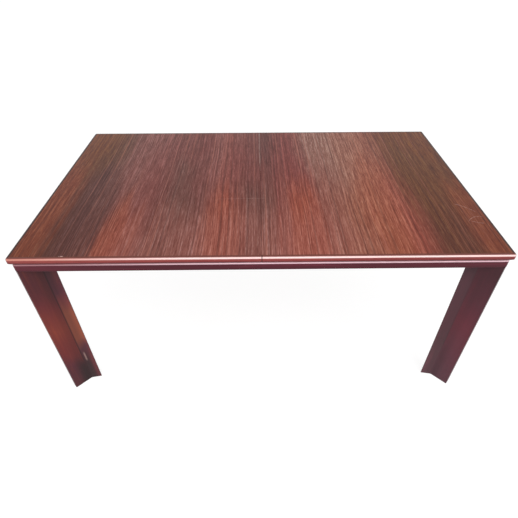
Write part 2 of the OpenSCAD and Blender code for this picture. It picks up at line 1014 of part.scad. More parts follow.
// Plate of a lock under the left half, with its headed pin
module lock_plate_solid(side) {
    difference() {
        translate([-lock_set - lock_plate_w / 2, -lock_plate_out, board_z - lock_plate_t])
            translate([0, side < 0 ? -lock_y : lock_y - lock_plate_in + lock_plate_out, 0])
                cube([lock_plate_w, lock_plate_out + lock_plate_in, lock_plate_t]);
        lock_screws_at()
            screw_hole(screw_d, lock_screw_l);
    }
    translate([-lock_set, side * lock_y, lever_z - lever_gap]) {
        cylinder(r = lock_pin_r, h = board_z - lock_plate_t - lever_z + lever_gap);
        translate([0, 0, -lock_head_t])
            cylinder(r = lock_pin_r + lock_head_rim, h = lock_head_t);
    }
}

// Wedge of a circle from one angle to another
module wedge(r, from, to) {
    intersection() {
        circle(r, $fn = 96);
        polygon([[0, 0], 2 * r * [cos(from), sin(from)], 2 * r * [cos(to), sin(to)]]);
    }
}

// Lever of the front lock, which is turned towards the slides when it is open
module lever_solid() {
    translate([-lock_set, -lock_y, lever_z])
        rotate([0, 0, lever_turn]) {
            linear_extrude(lever_t)
                difference() {
                    union() {
                        circle(lever_hub_r);
                        wedge(lock_r + lever_rim, -lever_lead, lever_trail);
                    }
                    circle(lock_pin_r + lever_gap / 2);
                    difference() {
                        wedge(lock_r + lever_slot_r, -lever_lead - lever_slot_end, 0);
                        circle(lock_r - lever_slot_r, $fn = 96);
                    }
                    translate([lock_r, 0])
                        circle(lever_slot_r);
                }
            rotate([0, 0, lever_trail / 2])
                translate([knob_reach, 0, -knob_h])
                    cylinder(r = knob_r, h = knob_h + eps);
        }
}

module lock_lever_front() {
    color(steel)
        lever_solid();
}

module lock_lever_back() {
    color(steel)
        twin()
            lever_solid();
}

// Places a piece of the leaf, drawn closed in the top, where the leaf is stored
module stored() {
    translate([0, 0, rail_top - board_z])
        rotate([0, 0, 90])
            children();
}

module leaf_board() {
    color(veneer)
        stored()
            difference() {
                translate([leaf_w / 2, 0, 0])
                    board_blank(leaf_w, true);
                translate([leaf_w / 2, 0, 0])
                    edge_dowel_holes();
                twin()
                    translate([leaf_w / 2, 0, 0])
                        edge_dowel_holes();
            }
}

module leaf_lippings() {
    color(wood)
        stored() {
            leaf_lipping();
            twin()
                leaf_lipping();
        }
}

// Lipping on the leaf's front end
module leaf_lipping() {
    translate([-leaf_w / 2, -table_w / 2, board_z])
        edge_bar(leaf_w, lip_w, top_t, top_corner_r, false, false)
            lip_section();
}

module leaf_dowels() {
    color(beech)
        stored() {
            translate([leaf_w / 2, 0, 0])
                edge_dowels();
            twin()
                translate([leaf_w / 2, 0, 0])
                    edge_dowels();
        }
}

module left_board() {
    color(veneer)
        left_board_solid();
}

module left_end_lipping() {
    color(wood)
        end_lipping_solid();
}

module left_front_lipping() {
    color(wood)
        front_lipping_solid();
}

module left_back_lipping() {
    color(wood)
        back_lipping_solid();
}

module left_front_runner() {
    color(beech)
        runner_solid(-slide_y);
}

module left_back_runner() {
    color(beech)
        runner_solid(slide_y);
}

module left_racks() {
    color(steel) {
        rack_solid(-slide_y);
        rack_solid(slide_y);
    }
}

module left_runner_screws() {
    color(steel)
        runner_screws_at()
            screw(screw_d, runner_screw_l);
}

module left_rack_screws() {
    color(steel)
        rack_screws_at()
            screw(rack_screw_d, rack_screw_l);
}

module left_stop_pegs() {
    color(beech)
        stop_pegs_solid();
}

module left_seam_dowels() {
    color(beech)
        at_left_seam()
            edge_dowels();
}

module left_lock_plate() {
    color(steel)
        lock_plate_solid(-1);
}

module left_lock_catch() {
    color(steel)
        lock_plate_solid(1);
}

module left_lock_screws() {
    color(steel)
        lock_screws_at()
            screw(screw_d, lock_screw_l);
}

module right_board() {
    twin()
        left_board();
}

module right_end_lipping() {
    twin()
        left_end_lipping();
}

module right_front_lipping() {
    twin()
        left_back_lipping();
}

module right_back_lipping() {
    twin()
        left_front_lipping();
}

module right_front_runner() {
    twin()
        left_back_runner();
}

module right_back_runner() {
    twin()
        left_front_runner();
}

module right_racks() {
    twin()
        left_racks();
}

module right_runner_screws() {
    twin()
        left_runner_screws();
}

module right_rack_screws() {
    twin()
        left_rack_screws();
}

module right_stop_pegs() {
    twin()
        left_stop_pegs();
}

module right_seam_dowels() {
    twin()
        left_seam_dowels();
}

module right_lock_plate() {
    twin()
        left_lock_plate();
}

module right_lock_catch() {
    twin()
        left_lock_catch();
}

module right_lock_screws() {
    twin()
        left_lock_screws();
}

leg_front_left();
leg_front_right();
leg_back_left();
leg_back_right();
apron_front();
apron_back();
apron_left();
apron_right();
rim_front();
rim_back();
rim_left();
rim_right();
corner_blocks();
hanger_bolts();
hanger_nuts();
apron_dowels();
glides();
cross_rail_left();
cross_rail_middle();
cross_rail_right();
guide_front();
guide_back();
guide_screws();
pinion_pins();
leaf_board();
leaf_lippings();
leaf_dowels();
left_board();
left_end_lipping();
left_front_lipping();
left_back_lipping();
left_front_runner();
left_back_runner();
left_racks();
left_runner_screws();
left_rack_screws();
left_stop_pegs();
left_seam_dowels();
left_lock_plate();
left_lock_catch();
left_lock_screws();
right_board();
right_end_lipping();
right_front_lipping();
right_back_lipping();
right_front_runner();
right_back_runner();
right_racks();
right_runner_screws();
right_rack_screws();
right_stop_pegs();
right_seam_dowels();
right_lock_plate();
right_lock_catch();
right_lock_screws();
pinion_front();
pinion_back();
lock_lever_front();
lock_lever_back();
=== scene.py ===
import math

import bpy
from mathutils import Matrix, Vector


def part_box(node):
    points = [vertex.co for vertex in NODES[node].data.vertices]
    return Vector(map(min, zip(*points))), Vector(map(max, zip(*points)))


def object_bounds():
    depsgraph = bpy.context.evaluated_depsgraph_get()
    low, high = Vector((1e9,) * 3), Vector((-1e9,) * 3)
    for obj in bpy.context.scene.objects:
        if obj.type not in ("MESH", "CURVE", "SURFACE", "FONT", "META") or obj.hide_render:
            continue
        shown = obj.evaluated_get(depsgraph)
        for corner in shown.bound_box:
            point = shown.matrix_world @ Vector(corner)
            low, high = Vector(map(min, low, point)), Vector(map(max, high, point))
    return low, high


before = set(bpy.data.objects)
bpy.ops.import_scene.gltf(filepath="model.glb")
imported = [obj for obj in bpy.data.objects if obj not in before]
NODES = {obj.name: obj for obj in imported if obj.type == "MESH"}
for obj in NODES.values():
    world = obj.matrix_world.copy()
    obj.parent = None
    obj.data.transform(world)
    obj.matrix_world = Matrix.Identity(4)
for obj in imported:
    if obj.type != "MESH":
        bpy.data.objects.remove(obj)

CAD_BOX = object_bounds()


def rgb(code):
    """The linear colour of a hex code."""
    parts = [int(code[i:i + 2], 16) / 255 for i in (1, 3, 5)]
    return tuple(c / 12.92 if c <= 0.04045 else ((c + 0.055) / 1.055) ** 2.4 for c in parts) + (1.0,)


# Building of shaders

class Nodes:
    """Short calls that add nodes to one node tree."""

    def __init__(self, tree):
        self.tree = tree
        self.tree.nodes.clear()

    def add(self, kind, inputs=(), **settings):
        node = self.tree.nodes.new("ShaderNode" + kind)
        for key, value in settings.items():
            setattr(node, key, value)
        for key, value in dict(inputs).items():
            self.set(node.inputs[key], value)
        return node

    def set(self, socket, value):
        if isinstance(value, bpy.types.NodeSocket):
            self.tree.links.new(value, socket)
        else:
            socket.default_value = value

    def math(self, operation, a, b=0.0, clamp=False):
        return self.add("Math", {0: a, 1: b}, operation=operation, use_clamp=clamp).outputs[0]

    def plus(self, a, b):
        return self.math("ADD", a, b)

    def minus(self, a, b):
        return self.math("SUBTRACT", a, b)

    def times(self, a, b):
        return self.math("MULTIPLY", a, b)

    def over(self, a, b):
        return self.math("DIVIDE", a, b)

    def magnitude(self, a):
        return self.math("ABSOLUTE", a)

    def squares(self, a, b):
        return self.plus(self.times(a, a), self.times(b, b))

    def swing(self, noise, size):
        """A noise's departure from its middle value, scaled."""
        return self.times(self.minus(noise, 0.5), size)

    def step(self, value, low, high):
        """0 on low's side, 1 on high's side, smooth between."""
        node = self.add("MapRange", {"Value": value, "From Min": low, "From Max": high},
                        interpolation_type="SMOOTHSTEP")
        return node.outputs[0]

    def mix(self, factor, a, b, blend="MIX"):
        node = self.add("Mix", {"Factor": factor}, data_type="RGBA", blend_type=blend)
        self.set(node.inputs[6], a)
        self.set(node.inputs[7], b)
        return node.outputs[2]

    def split(self, vector):
        return self.add("SeparateXYZ", {0: vector}).outputs

    def join(self, x, y, z):
        return self.add("CombineXYZ", {0: x, 1: y, 2: z}).outputs[0]

    def noise(self, vector, scale, detail=2.0, rough=0.5):
        node = self.add("TexNoise", {"Vector": vector, "Scale": scale, "Detail": detail, "Roughness": rough})
        return node.outputs["Fac"]

    def ramp(self, value, stops):
        node = self.add("ValToRGB", {"Fac": value})
        elements = node.color_ramp.elements
        while len(elements) < len(stops):
            elements.new(1.0)
        for element, (place, colour) in zip(elements, stops):
            element.position = place
            element.color = colour
        return node.outputs["Color"]


class Shader(Nodes):
    """One material and what its surface needs."""

    def __init__(self, name):
        self.material = bpy.data.materials.new(name)
        self.material.use_nodes = True
        super().__init__(self.material.node_tree)
        self.output = self.add("OutputMaterial")
        self.position = self.add("TexCoord").outputs["Object"]

    def stretch(self, size):
        """The position with each direction scaled by its own factor."""
        return self.add("Mapping", {"Vector": self.position, "Scale": size}).outputs[0]

    def flow(self, grain, factor):
        """The position with the grain's axis, 0, 1 or 2, scaled by a factor."""
        size = [1.0, 1.0, 1.0]
        size[grain] = factor
        return self.stretch(size)

    def facing(self):
        """The three parts of the face's own direction."""
        return self.split(self.add("NewGeometry").outputs["True Normal"])

    def bump(self, height, strength, distance):
        return self.add("Bump", {"Height": height, "Strength": strength, "Distance": distance}).outputs[0]

    def surface(self, **inputs):
        names = {key.replace("_", " "): value for key, value in inputs.items()}
        shader = self.add("BsdfPrincipled", names)
        self.tree.links.new(shader.outputs[0], self.output.inputs["Surface"])
        return self.material


# Sizes from the frame, in metres

TOP_L = CAD_BOX[1][0] - CAD_BOX[0][0]
TOP_Z = CAD_BOX[1][2]
BOARD_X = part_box("right_board")[1].x
BOARD_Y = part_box("right_board")[1].y
LEG_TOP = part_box("leg_front_left")[1].z

# Tones of the veneer

DARK = rgb("#55302b")
UMBER = rgb("#5c3324")
OLIVE = rgb("#643919")
PLUM = rgb("#6a413a")
MAUVE = rgb("#7e4c46")
CRIMSON = rgb("#73332f")
RED = rgb("#84463e")
EMBER = rgb("#9c4b2e")
SALMON = rgb("#915a48")
SHEEN_TAN = rgb("#8f685c")
ROSE = rgb("#a0685f")
BRONZE = rgb("#6b3510")
# Pale tone of the seam's chips and the scratches, also used for the painted reflection on the left legs
CHIP_AND_REFLECTION = rgb("#c9a49b")
DARK_EDGE = rgb("#4a2620")
DARK_STRIPE = rgb("#3c1f1d")
BRIGHT_STRIPE = rgb("#c87f6c")

# The veneer's broad bands: place along the table and tone
BANDS = (
    (-0.79, UMBER), (-0.73, UMBER), (-0.66, DARK), (-0.60, PLUM), (-0.54, MAUVE), (-0.44, MAUVE),
    (-0.36, PLUM), (-0.27, PLUM), (-0.20, MAUVE), (-0.13, RED), (-0.05, PLUM), (0.03, PLUM),
    (0.10, RED), (0.20, RED), (0.28, SALMON), (0.37, SALMON), (0.46, SALMON), (0.54, RED),
    (0.61, UMBER), (0.70, UMBER), (0.79, UMBER),
)
# Patches where the figure glows or dulls, and one of painted sheen: tone, middle, half size along and across
# the table, strength
PATCHES = (
    (EMBER, (-0.77, -0.10), (0.05, 0.60), 0.35),
    (OLIVE, (-0.71, 0.38), (0.10, 0.26), 0.65),
    (BRONZE, (-0.77, 0.44), (0.10, 0.18), 0.6),
    (DARK, (-0.61, -0.30), (0.07, 0.30), 0.6),
    (EMBER, (-0.50, -0.42), (0.05, 0.26), 0.5),
    (CRIMSON, (-0.42, 0.10), (0.06, 0.36), 0.4),
    (EMBER, (-0.15, -0.40), (0.06, 0.30), 0.5),
    (CRIMSON, (-0.24, 0.16), (0.05, 0.30), 0.4),
    (CRIMSON, (-0.30, 0.40), (0.10, 0.18), 0.55),
    (CRIMSON, (-0.02, 0.25), (0.10, 0.28), 0.65),
    (DARK, (0.04, 0.34), (0.05, 0.26), 0.6),
    (CRIMSON, (0.15, 0.25), (0.09, 0.28), 0.75),
    (EMBER, (0.16, -0.38), (0.06, 0.32), 0.55),
    # The tan patch at the back of the right half is painted sheen, over the lacquer's own reflection
    (SHEEN_TAN, (0.31, 0.32), (0.11, 0.32), 0.8),
    (MAUVE, (0.28, -0.16), (0.05, 0.30), 0.4),
    (SALMON, (0.45, 0.30), (0.10, 0.30), 0.6),
    (EMBER, (0.48, -0.22), (0.09, 0.36), 0.35),
    (OLIVE, (0.68, 0.22), (0.13, 0.44), 0.75),
    (BRONZE, (0.74, 0.44), (0.18, 0.18), 0.6),
    (ROSE, (-0.36, -0.46), (0.12, 0.22), 0.4),
    (ROSE, (0.02, -0.46), (0.28, 0.22), 0.45),
    (EMBER, (0.77, -0.35), (0.05, 0.30), 0.3),
)
# Square of the distance from a patch's middle, in half sizes, at which it has faded out
PATCH_REACH = 2.4
# Factors on the tone, from the darkest grain to the brightest
GRAIN_SHADES = (
    (0.415, (0.48, 0.28, 0.24, 1.0)), (0.47, (0.78, 0.62, 0.59, 1.0)),
    (0.515, (1.05, 0.98, 0.94, 1.0)), (0.57, (1.58, 1.98, 2.12, 1.0)),
)
# Shares of the three widths of thread in the grain
LINE_SHARE, FLECK_SHARE, HAIR_SHARE = 0.41, 0.51, 0.08
# Contrast of the grain on the middle line, and its gain for each metre towards the back
CONTRAST, CONTRAST_GAIN = 0.90, 0.5
# Distances from the board's edge between which the joint with the lipping darkens
JOINT_STARTS, JOINT_FULL = 0.0018, 0.0004
# Distances from the middle between which the seam's chips grow, and places across where they begin
SEAM_WIDTHS, SEAM_BACK = (0.003, 0.0015), (0.08, 0.2)
# Scratches: ends along the table, middle, slope, curve and strength
SCRATCHES = (
    ((0.725, 0.79), (0.755, -0.205), -0.9, -9.0, 0.45),
    ((0.735, 0.80), (0.765, -0.275), 0.5, -14.0, 0.35),
    ((0.745, 0.79), (0.77, -0.31), -0.3, 10.0, 0.35),
    ((-0.17, 0.02), (-0.07, -0.137), 0.02, 0.0, 0.2),
    ((-0.654, -0.632), (-0.643, -0.4775), 0.0, 0.0, 1.0),
)
# Length over which a scratch's ends fade, and distances from its line between which it grows
SCRATCH_FADE, SCRATCH_WIDTHS = 0.008, (0.003, 0.0012)


def veneer_tone(s, place, y, broad):
    """The tones along the table, with the patches over them."""
    tone = s.ramp(s.plus(s.over(place, TOP_L), 0.5), [(0.5 + x0 / TOP_L, colour) for x0, colour in BANDS])
    across = s.plus(y, s.swing(broad, 0.5))
    for colour, (mid_x, mid_y), (half_x, half_y), strength in PATCHES:
        off_x = s.over(s.minus(place, mid_x), half_x)
        off_y = s.over(s.minus(across, mid_y), half_y)
        inside = s.step(s.squares(off_x, off_y), PATCH_REACH, 0.0)
        tone = s.mix(s.times(inside, strength), tone, colour)
    return tone


def veneer_grain(s, tone, y, lines, flecks, hair, stripes):
    """A tone with its grain, which is stronger towards the back, and its dark and bright stripes."""
    grain = s.plus(s.times(lines, LINE_SHARE), s.times(flecks, FLECK_SHARE))
    grain = s.plus(grain, s.times(hair, HAIR_SHARE))
    contrast = s.plus(CONTRAST, s.times(y, CONTRAST_GAIN))
    shade = s.ramp(s.plus(0.5, s.swing(grain, contrast)), GRAIN_SHADES)
    colour = s.mix(1.0, tone, shade, "MULTIPLY")
    colour = s.mix(s.times(s.step(stripes, 0.44, 0.36), 0.34), colour, DARK_STRIPE)
    return s.mix(s.times(s.step(stripes, 0.57, 0.66), 0.24), colour, BRIGHT_STRIPE)


def lipping_joint(s, colour, x, y):
    """The veneer's colour with the dark joint at the board's edge."""
    joint_x = s.step(s.magnitude(x), BOARD_X - JOINT_STARTS, BOARD_X - JOINT_FULL)
    joint_y = s.step(s.magnitude(y), BOARD_Y - JOINT_STARTS, BOARD_Y - JOINT_FULL)
    return s.mix(s.times(s.math("MAXIMUM", joint_x, joint_y), 0.6), colour, DARK_EDGE)


def top_wear(s, colour, x, y, flecks, hair):
    """The veneer's colour with the seam, which is chipped pale at the back, and the scratches."""
    at_back = s.step(s.plus(y, s.swing(flecks, 0.9)), *SEAM_BACK)
    seam = s.times(s.step(s.magnitude(x), *SEAM_WIDTHS), at_back)
    chipped = s.times(seam, s.step(flecks, 0.4, 0.5))
    colour = s.mix(s.times(chipped, 0.6), colour, CHIP_AND_REFLECTION)
    for (from_x, to_x), (mid_x, mid_y), slope, curve, strength in SCRATCHES:
        ahead = s.minus(x, mid_x)
        bend = s.times(ahead, s.plus(slope, s.times(ahead, curve)))
        off = s.magnitude(s.minus(s.minus(y, mid_y), bend))
        within = s.times(s.step(x, from_x, from_x + SCRATCH_FADE), s.step(x, to_x, to_x - SCRATCH_FADE))
        line = s.times(s.step(off, *SCRATCH_WIDTHS), s.step(hair, 0.4, 0.6))
        colour = s.mix(s.times(s.times(line, within), strength), colour, CHIP_AND_REFLECTION)
    return colour


def veneer(name, stored=False):
    """Striped rosewood veneer. The stored leaf's is turned with it, and has no seam and no scratches."""
    s = Shader(name)
    x, y, z = s.split(s.position)
    if stored:
        x, y = y, x
        s.position = s.join(x, y, z)
    sway = s.noise(s.stretch((2.5, 1.5, 1.0)), 1.0, 1.0)
    along = s.plus(x, s.swing(sway, 0.03))

    def threads(scale, length, detail=2.0, rough=0.6):
        """Threads of grain about 1 / scale wide, and 1 / length times as long."""
        return s.noise(s.join(along, s.times(y, length), 0.0), scale, detail, rough)

    broad = threads(24.0, 0.03)
    lines = threads(85.0, 0.004, 4.0, 1.0)
    flecks = threads(160.0, 0.05, 3.0, 1.0)
    hair = threads(800.0, 0.02)
    stripes = threads(105.0, 0.004, 2.0, 0.5)

    ragged = s.plus(s.swing(broad, 0.08), s.swing(lines, 0.15))
    tone = veneer_tone(s, s.plus(along, ragged), y, broad)
    colour = lipping_joint(s, veneer_grain(s, tone, y, lines, flecks, hair, stripes), x, y)
    if not stored:
        colour = top_wear(s, colour, x, y, flecks, hair)
    height = s.plus(hair, s.times(lines, 0.5))
    return s.surface(
        Base_Color=colour, Roughness=s.plus(0.28, s.times(hair, 0.12)), Specular_IOR_Level=0.1,
        Normal=s.bump(height, 0.08, 0.0004), Coat_Weight=0.04, Coat_Roughness=0.1,
    )


# Stained wood: light, dark and streak tones

LIPPING = (rgb("#a34b46"), rgb("#883a39"), rgb("#b25b4c"))
# The back and end lippings' tones are a darker, shaded copy of the lipping's: painted shade
SHADED_LIPPING = (rgb("#542621"), rgb("#431d1a"), rgb("#66342a"))
RIM = (rgb("#6b2433"), rgb("#4f1a27"), rgb("#7c313e"))
# The left legs' tones are a lighter, lit copy of the right legs': painted light and shade
LIT_LEG_TONES = (rgb("#7c322c"), rgb("#57272b"), rgb("#95492f"))
SHADED_LEG_TONES = (rgb("#5e2f3a"), rgb("#48272f"), rgb("#702c39"))

# Tones of the moulded edges: on top, the painted highlight on the nose on the right and on the left, and the
# painted shade below
# The dark top is painted shade on the back and end lippings
DULL_TOP, SHADED_TOP = rgb("#6b3a31"), rgb("#38201d")
LIPPING_HIGHLIGHT, LIPPING_HIGHLIGHT_LEFT = rgb("#ffdedb"), rgb("#d28e80")
RIM_HIGHLIGHT, RIM_HIGHLIGHT_LEFT = rgb("#ffd8e2"), rgb("#b8858c")
DEEP_RED = rgb("#491621")
# Heights between which the lipping and the rim turn to the shaded tone
LIPPING_DEEP = (TOP_Z - 0.0115, TOP_Z - 0.0205)
RIM_DEEP = (TOP_Z - 0.039, TOP_Z - 0.057)
# Places along the table between which the painted highlight on the edge changes from left to right
HIGHLIGHT_FADE_LEFT, HIGHLIGHT_FADE_RIGHT = -0.65, -0.05
# Distances from the middle between which the lipping's seam darkens
LIPPING_SEAM = (0.0028, 0.001)

# Painted light and shade of a leg by height, for its fin and for its wings, which face the light differently:
# painted shadow at the top under the table, and on the left legs a painted orange reflection at middle height
LEFT_FIN_PAINTED_LIGHT = (
    (0.0, rgb("#4a2029")), (0.10, rgb("#5a2633")), (0.20, rgb("#7e2f2c")), (0.34, rgb("#934031")),
    (0.46, rgb("#6f2d31")), (0.54, rgb("#4d252c")), (0.64, rgb("#40222a")),
)
LEFT_WING_PAINTED_LIGHT = (
    (0.0, rgb("#632a36")), (0.10, rgb("#6c2c38")), (0.18, rgb("#5f2c3c")), (0.25, rgb("#aa5a3c")),
    (0.40, rgb("#a0563e")), (0.50, rgb("#7d3a3c")), (0.56, rgb("#532838")), (0.66, rgb("#3a2028")),
)
RIGHT_FIN_PAINTED_LIGHT = (
    (0.0, rgb("#663f4a")), (0.15, rgb("#6f3b47")), (0.30, rgb("#7a3541")), (0.45, rgb("#66323d")),
    (0.58, rgb("#562c35")), (0.66, rgb("#4b282e")),
)
RIGHT_WING_PAINTED_LIGHT = (
    (0.0, rgb("#653d47")), (0.10, rgb("#643f46")), (0.20, rgb("#51373b")), (0.34, rgb("#58343b")),
    (0.50, rgb("#56373e")), (0.66, rgb("#34292c")),
)
# Share of the painted light and shade by height in a leg's colour
PAINTED_LIGHT_SHARE = 0.62
# Plan place of the hollow between a leg's fin and wings, and the tone of the painted shade in it
HOLLOW_X, HOLLOW_Y = 0.755, 0.429
HOLLOW_SHADE = rgb("#2c191c")
# Distances from the hollow between which the painted shade darkens the leg, and heights below which it is
# darker
SHADE_REACH, SHADE_HEIGHTS = (0.045, 0.015), (0.2, 0.08)
# The pale painted reflection: its place from the hollow, its height, and half its width and height, faded and
# full
REFLECTION_X, REFLECTION_Z = -0.016, 0.15
REFLECTION_WIDTHS, REFLECTION_HEIGHTS = (0.005, 0.001), (0.035, 0.015)


def wood_grain(s, grain):
    """Coarse, fine and pore noises stretched along one axis, given as 0, 1 or 2."""
    flow = s.flow(grain, 0.045)
    broad = s.noise(flow, 18.0, 3.0, 0.55)
    fine = s.noise(flow, 110.0, 4.0, 0.65)
    pores = s.noise(flow, 480.0, 2.0, 0.6)
    return broad, fine, pores


def stained_wood(s, noises, light, dark, streak):
    """The colour of stained wood: two tones, brighter streaks and dark pores."""
    broad, fine, pores = noises
    colour = s.mix(s.step(broad, 0.35, 0.65), dark, light)
    colour = s.mix(s.times(s.step(fine, 0.52, 0.68), 0.4), colour, streak)
    colour = s.mix(s.times(s.step(fine, 0.46, 0.34), 0.5), colour, dark)
    return s.mix(s.times(s.step(pores, 0.42, 0.3), 0.4), colour, DARK)


def lacquer(s, colour, noises, bump=0.04):
    """Satin lacquer over a wood colour."""
    fine, pores = noises[1:]
    height = s.plus(pores, s.times(fine, 0.6))
    return s.surface(
        Base_Color=colour, Roughness=s.plus(0.3, s.times(fine, 0.08)), Specular_IOR_Level=0.12,
        Normal=s.bump(height, bump, 0.0003), Coat_Weight=0.12, Coat_Roughness=0.12,
    )


def moulded_wood(name, grain, tones, top, arris, arris_left, deep, seam=0.0):
    """Stained wood of an edge: tone on top, painted highlight on the arris, heights of painted shade and
    strength of the seam.
    """
    s = Shader(name)
    noises = wood_grain(s, grain)
    x, _, z = s.split(s.position)
    colour = s.mix(s.times(s.step(z, *deep), 0.65), stained_wood(s, noises, *tones), DEEP_RED)
    # Painted highlight on the rounded nose, where the surface faces between forwards and up, dimmer towards
    # the left
    along = s.plus(x, s.times(noises[0], 0.3))
    painted_highlight = s.mix(s.step(along, HIGHLIGHT_FADE_LEFT, HIGHLIGHT_FADE_RIGHT), arris_left, arris)
    up = s.facing()[2]
    edge = s.times(s.step(up, 0.02, 0.4), s.step(up, 0.93, 0.65))
    edge = s.math("MULTIPLY", edge, s.minus(1.15, s.times(noises[1], 0.3)), clamp=True)
    colour = s.mix(s.step(up, 0.8, 0.95), colour, top)
    colour = s.mix(edge, colour, painted_highlight)
    crack = s.times(s.step(s.magnitude(x), *LIPPING_SEAM), seam)
    return lacquer(s, s.mix(crack, colour, DARK_EDGE), noises, 0.02)


def leg_wood(name, fin, wing, tones, reflection_strength, shade_strength):
    """Stained wood of a leg, with painted light and shade: the painted light of its fin and its wings by
    height, and strengths of its painted reflection and its painted shade.
    """
    s = Shader(name)
    noises = wood_grain(s, 2)
    x, y, z = s.split(s.position)
    cloud = s.noise(s.stretch((6.0, 6.0, 2.0)), 1.6, 2.0, 0.5)
    height = s.plus(z, s.swing(cloud, 0.35))
    high = s.over(height, LEG_TOP)
    fin_painted_light = s.ramp(high, [(z0 / LEG_TOP, colour) for z0, colour in fin])
    wing_painted_light = s.ramp(high, [(z0 / LEG_TOP, colour) for z0, colour in wing])
    facing = s.facing()
    turned = s.math("MINIMUM", s.magnitude(facing[0]), s.magnitude(facing[1]))
    # Fin and wings take their own painted light and shade, by the direction they face
    painted_light = s.mix(s.step(turned, 0.3, 0.55), wing_painted_light, fin_painted_light)
    colour = s.mix(PAINTED_LIGHT_SHARE, stained_wood(s, noises, *tones), painted_light)

    # Painted shade round the hollow, darker near the floor, and a pale painted reflection beside it
    off_x = s.minus(s.magnitude(x), HOLLOW_X)
    off_y = s.minus(s.magnitude(y), HOLLOW_Y)
    away = s.plus(s.math("SQRT", s.squares(off_x, off_y)), s.swing(noises[0], 0.03))
    foot = s.plus(0.3, s.times(s.step(height, *SHADE_HEIGHTS), 0.5))
    hollow = s.times(s.step(turned, 0.2, 0.42), s.step(turned, 0.66, 0.52))
    painted_shade = s.math("MAXIMUM", s.times(s.step(away, *SHADE_REACH), foot), s.times(hollow, 0.7))
    colour = s.mix(s.times(painted_shade, shade_strength), colour, HOLLOW_SHADE)
    # A pale streak of painted reflection beside the hollow
    painted_reflection = s.times(s.step(s.magnitude(s.minus(off_x, REFLECTION_X)), *REFLECTION_WIDTHS),
                   s.step(s.magnitude(s.minus(z, REFLECTION_Z)), *REFLECTION_HEIGHTS))
    return lacquer(s, s.mix(s.times(painted_reflection, reflection_strength), colour, CHIP_AND_REFLECTION), noises)


# Bare wood, steel and nylon

BEECH_DARK, BEECH_LIGHT = rgb("#b98c5d"), rgb("#cfa678")
BEECH_STREAK, BEECH_FLECK = rgb("#a47649"), rgb("#8e5f38")
ZINC_DARK, ZINC_LIGHT, ZINC_SCRATCH = rgb("#8d8f92"), rgb("#b3b4b3"), rgb("#d0d0cd")
NYLON_DUSTY, NYLON_CLEAN = rgb("#cfc9ba"), rgb("#dedacf")


def beech(name, grain):
    """Bare planed beech with its short brown flecks."""
    s = Shader(name)
    flow = s.flow(grain, 0.06)
    broad = s.noise(flow, 14.0, 3.0, 0.5)
    fine = s.noise(flow, 160.0, 3.0, 0.6)
    fleck = s.noise(s.flow(grain, 0.25), 620.0, 1.0, 0.5)
    colour = s.mix(broad, BEECH_DARK, BEECH_LIGHT)
    colour = s.mix(s.times(s.step(fine, 0.5, 0.7), 0.4), colour, BEECH_STREAK)
    colour = s.mix(s.times(s.step(fleck, 0.62, 0.7), 0.6), colour, BEECH_FLECK)
    return s.surface(
        Base_Color=colour, Roughness=s.plus(0.6, s.times(fine, 0.1)), Normal=s.bump(fine, 0.2, 0.0005),
    )


def plated_steel():
    """Zinc-plated steel with fine scratches."""
    s = Shader("zinc_plated_steel")
    cloud = s.noise(s.position, 90.0, 3.0, 0.6)
    scratch = s.noise(s.flow(1, 0.08), 900.0, 2.0, 0.6)
    colour = s.mix(cloud, ZINC_DARK, ZINC_LIGHT)
    colour = s.mix(s.times(s.step(scratch, 0.58, 0.7), 0.4), colour, ZINC_SCRATCH)
    return s.surface(
        Base_Color=colour, Metallic=1.0, Roughness=s.plus(0.3, s.times(cloud, 0.2)),
        Normal=s.bump(scratch, 0.1, 0.0002),
    )


def nylon():
    """Off-white nylon, a little dusty."""
    s = Shader("nylon")
    speck = s.noise(s.position, 700.0, 3.0, 0.6)
    dust = s.noise(s.position, 60.0, 2.0, 0.5)
    colour = s.mix(dust, NYLON_DUSTY, NYLON_CLEAN)
    return s.surface(Base_Color=colour, Roughness=0.55, Normal=s.bump(speck, 0.15, 0.0002))


# Which piece has which material

VENEER = veneer("rosewood_veneer")
LEAF_VENEER = veneer("rosewood_veneer_leaf", stored=True)
# The front lipping and the rims carry the painted highlight on their noses. The side rims carry only its
# dimmer tone.
LIPPING_X = moulded_wood("lipping_along", 0, LIPPING, DULL_TOP, LIPPING_HIGHLIGHT, LIPPING_HIGHLIGHT_LEFT, LIPPING_DEEP, 0.8)
# Back and end lippings: the shaded copy, with a dark arris of painted shade where the front has its painted
# highlight
LIPPING_BACK = moulded_wood("lipping_back", 0, SHADED_LIPPING, SHADED_TOP, DARK_EDGE, DARK_EDGE, LIPPING_DEEP)
LIPPING_Y = moulded_wood("lipping_across", 1, SHADED_LIPPING, SHADED_TOP, DARK_EDGE, DARK_EDGE, LIPPING_DEEP)
RIM_X = moulded_wood("rim_along", 0, RIM, DULL_TOP, RIM_HIGHLIGHT, RIM_HIGHLIGHT_LEFT, RIM_DEEP)
RIM_Y = moulded_wood("rim_across", 1, RIM, DULL_TOP, RIM_HIGHLIGHT_LEFT, RIM_HIGHLIGHT_LEFT, RIM_DEEP)
# Left legs: the lit copy, with a painted reflection and strong painted shade. Right legs: the shaded copy,
# with weaker painted shade.
LIT_LEG = leg_wood("leg_lit", LEFT_FIN_PAINTED_LIGHT, LEFT_WING_PAINTED_LIGHT, LIT_LEG_TONES, reflection_strength=0.4, shade_strength=1.15)
SHADED_LEG = leg_wood("leg_shaded", RIGHT_FIN_PAINTED_LIGHT, RIGHT_WING_PAINTED_LIGHT, SHADED_LEG_TONES, reflection_strength=0.0, shade_strength=0.35)
BEECH_X = beech("beech_along", 0)
BEECH_Y = beech("beech_across", 1)
BEECH_Z = beech("beech_upright", 2)
STEEL = plated_steel()
NYLON = nylon()

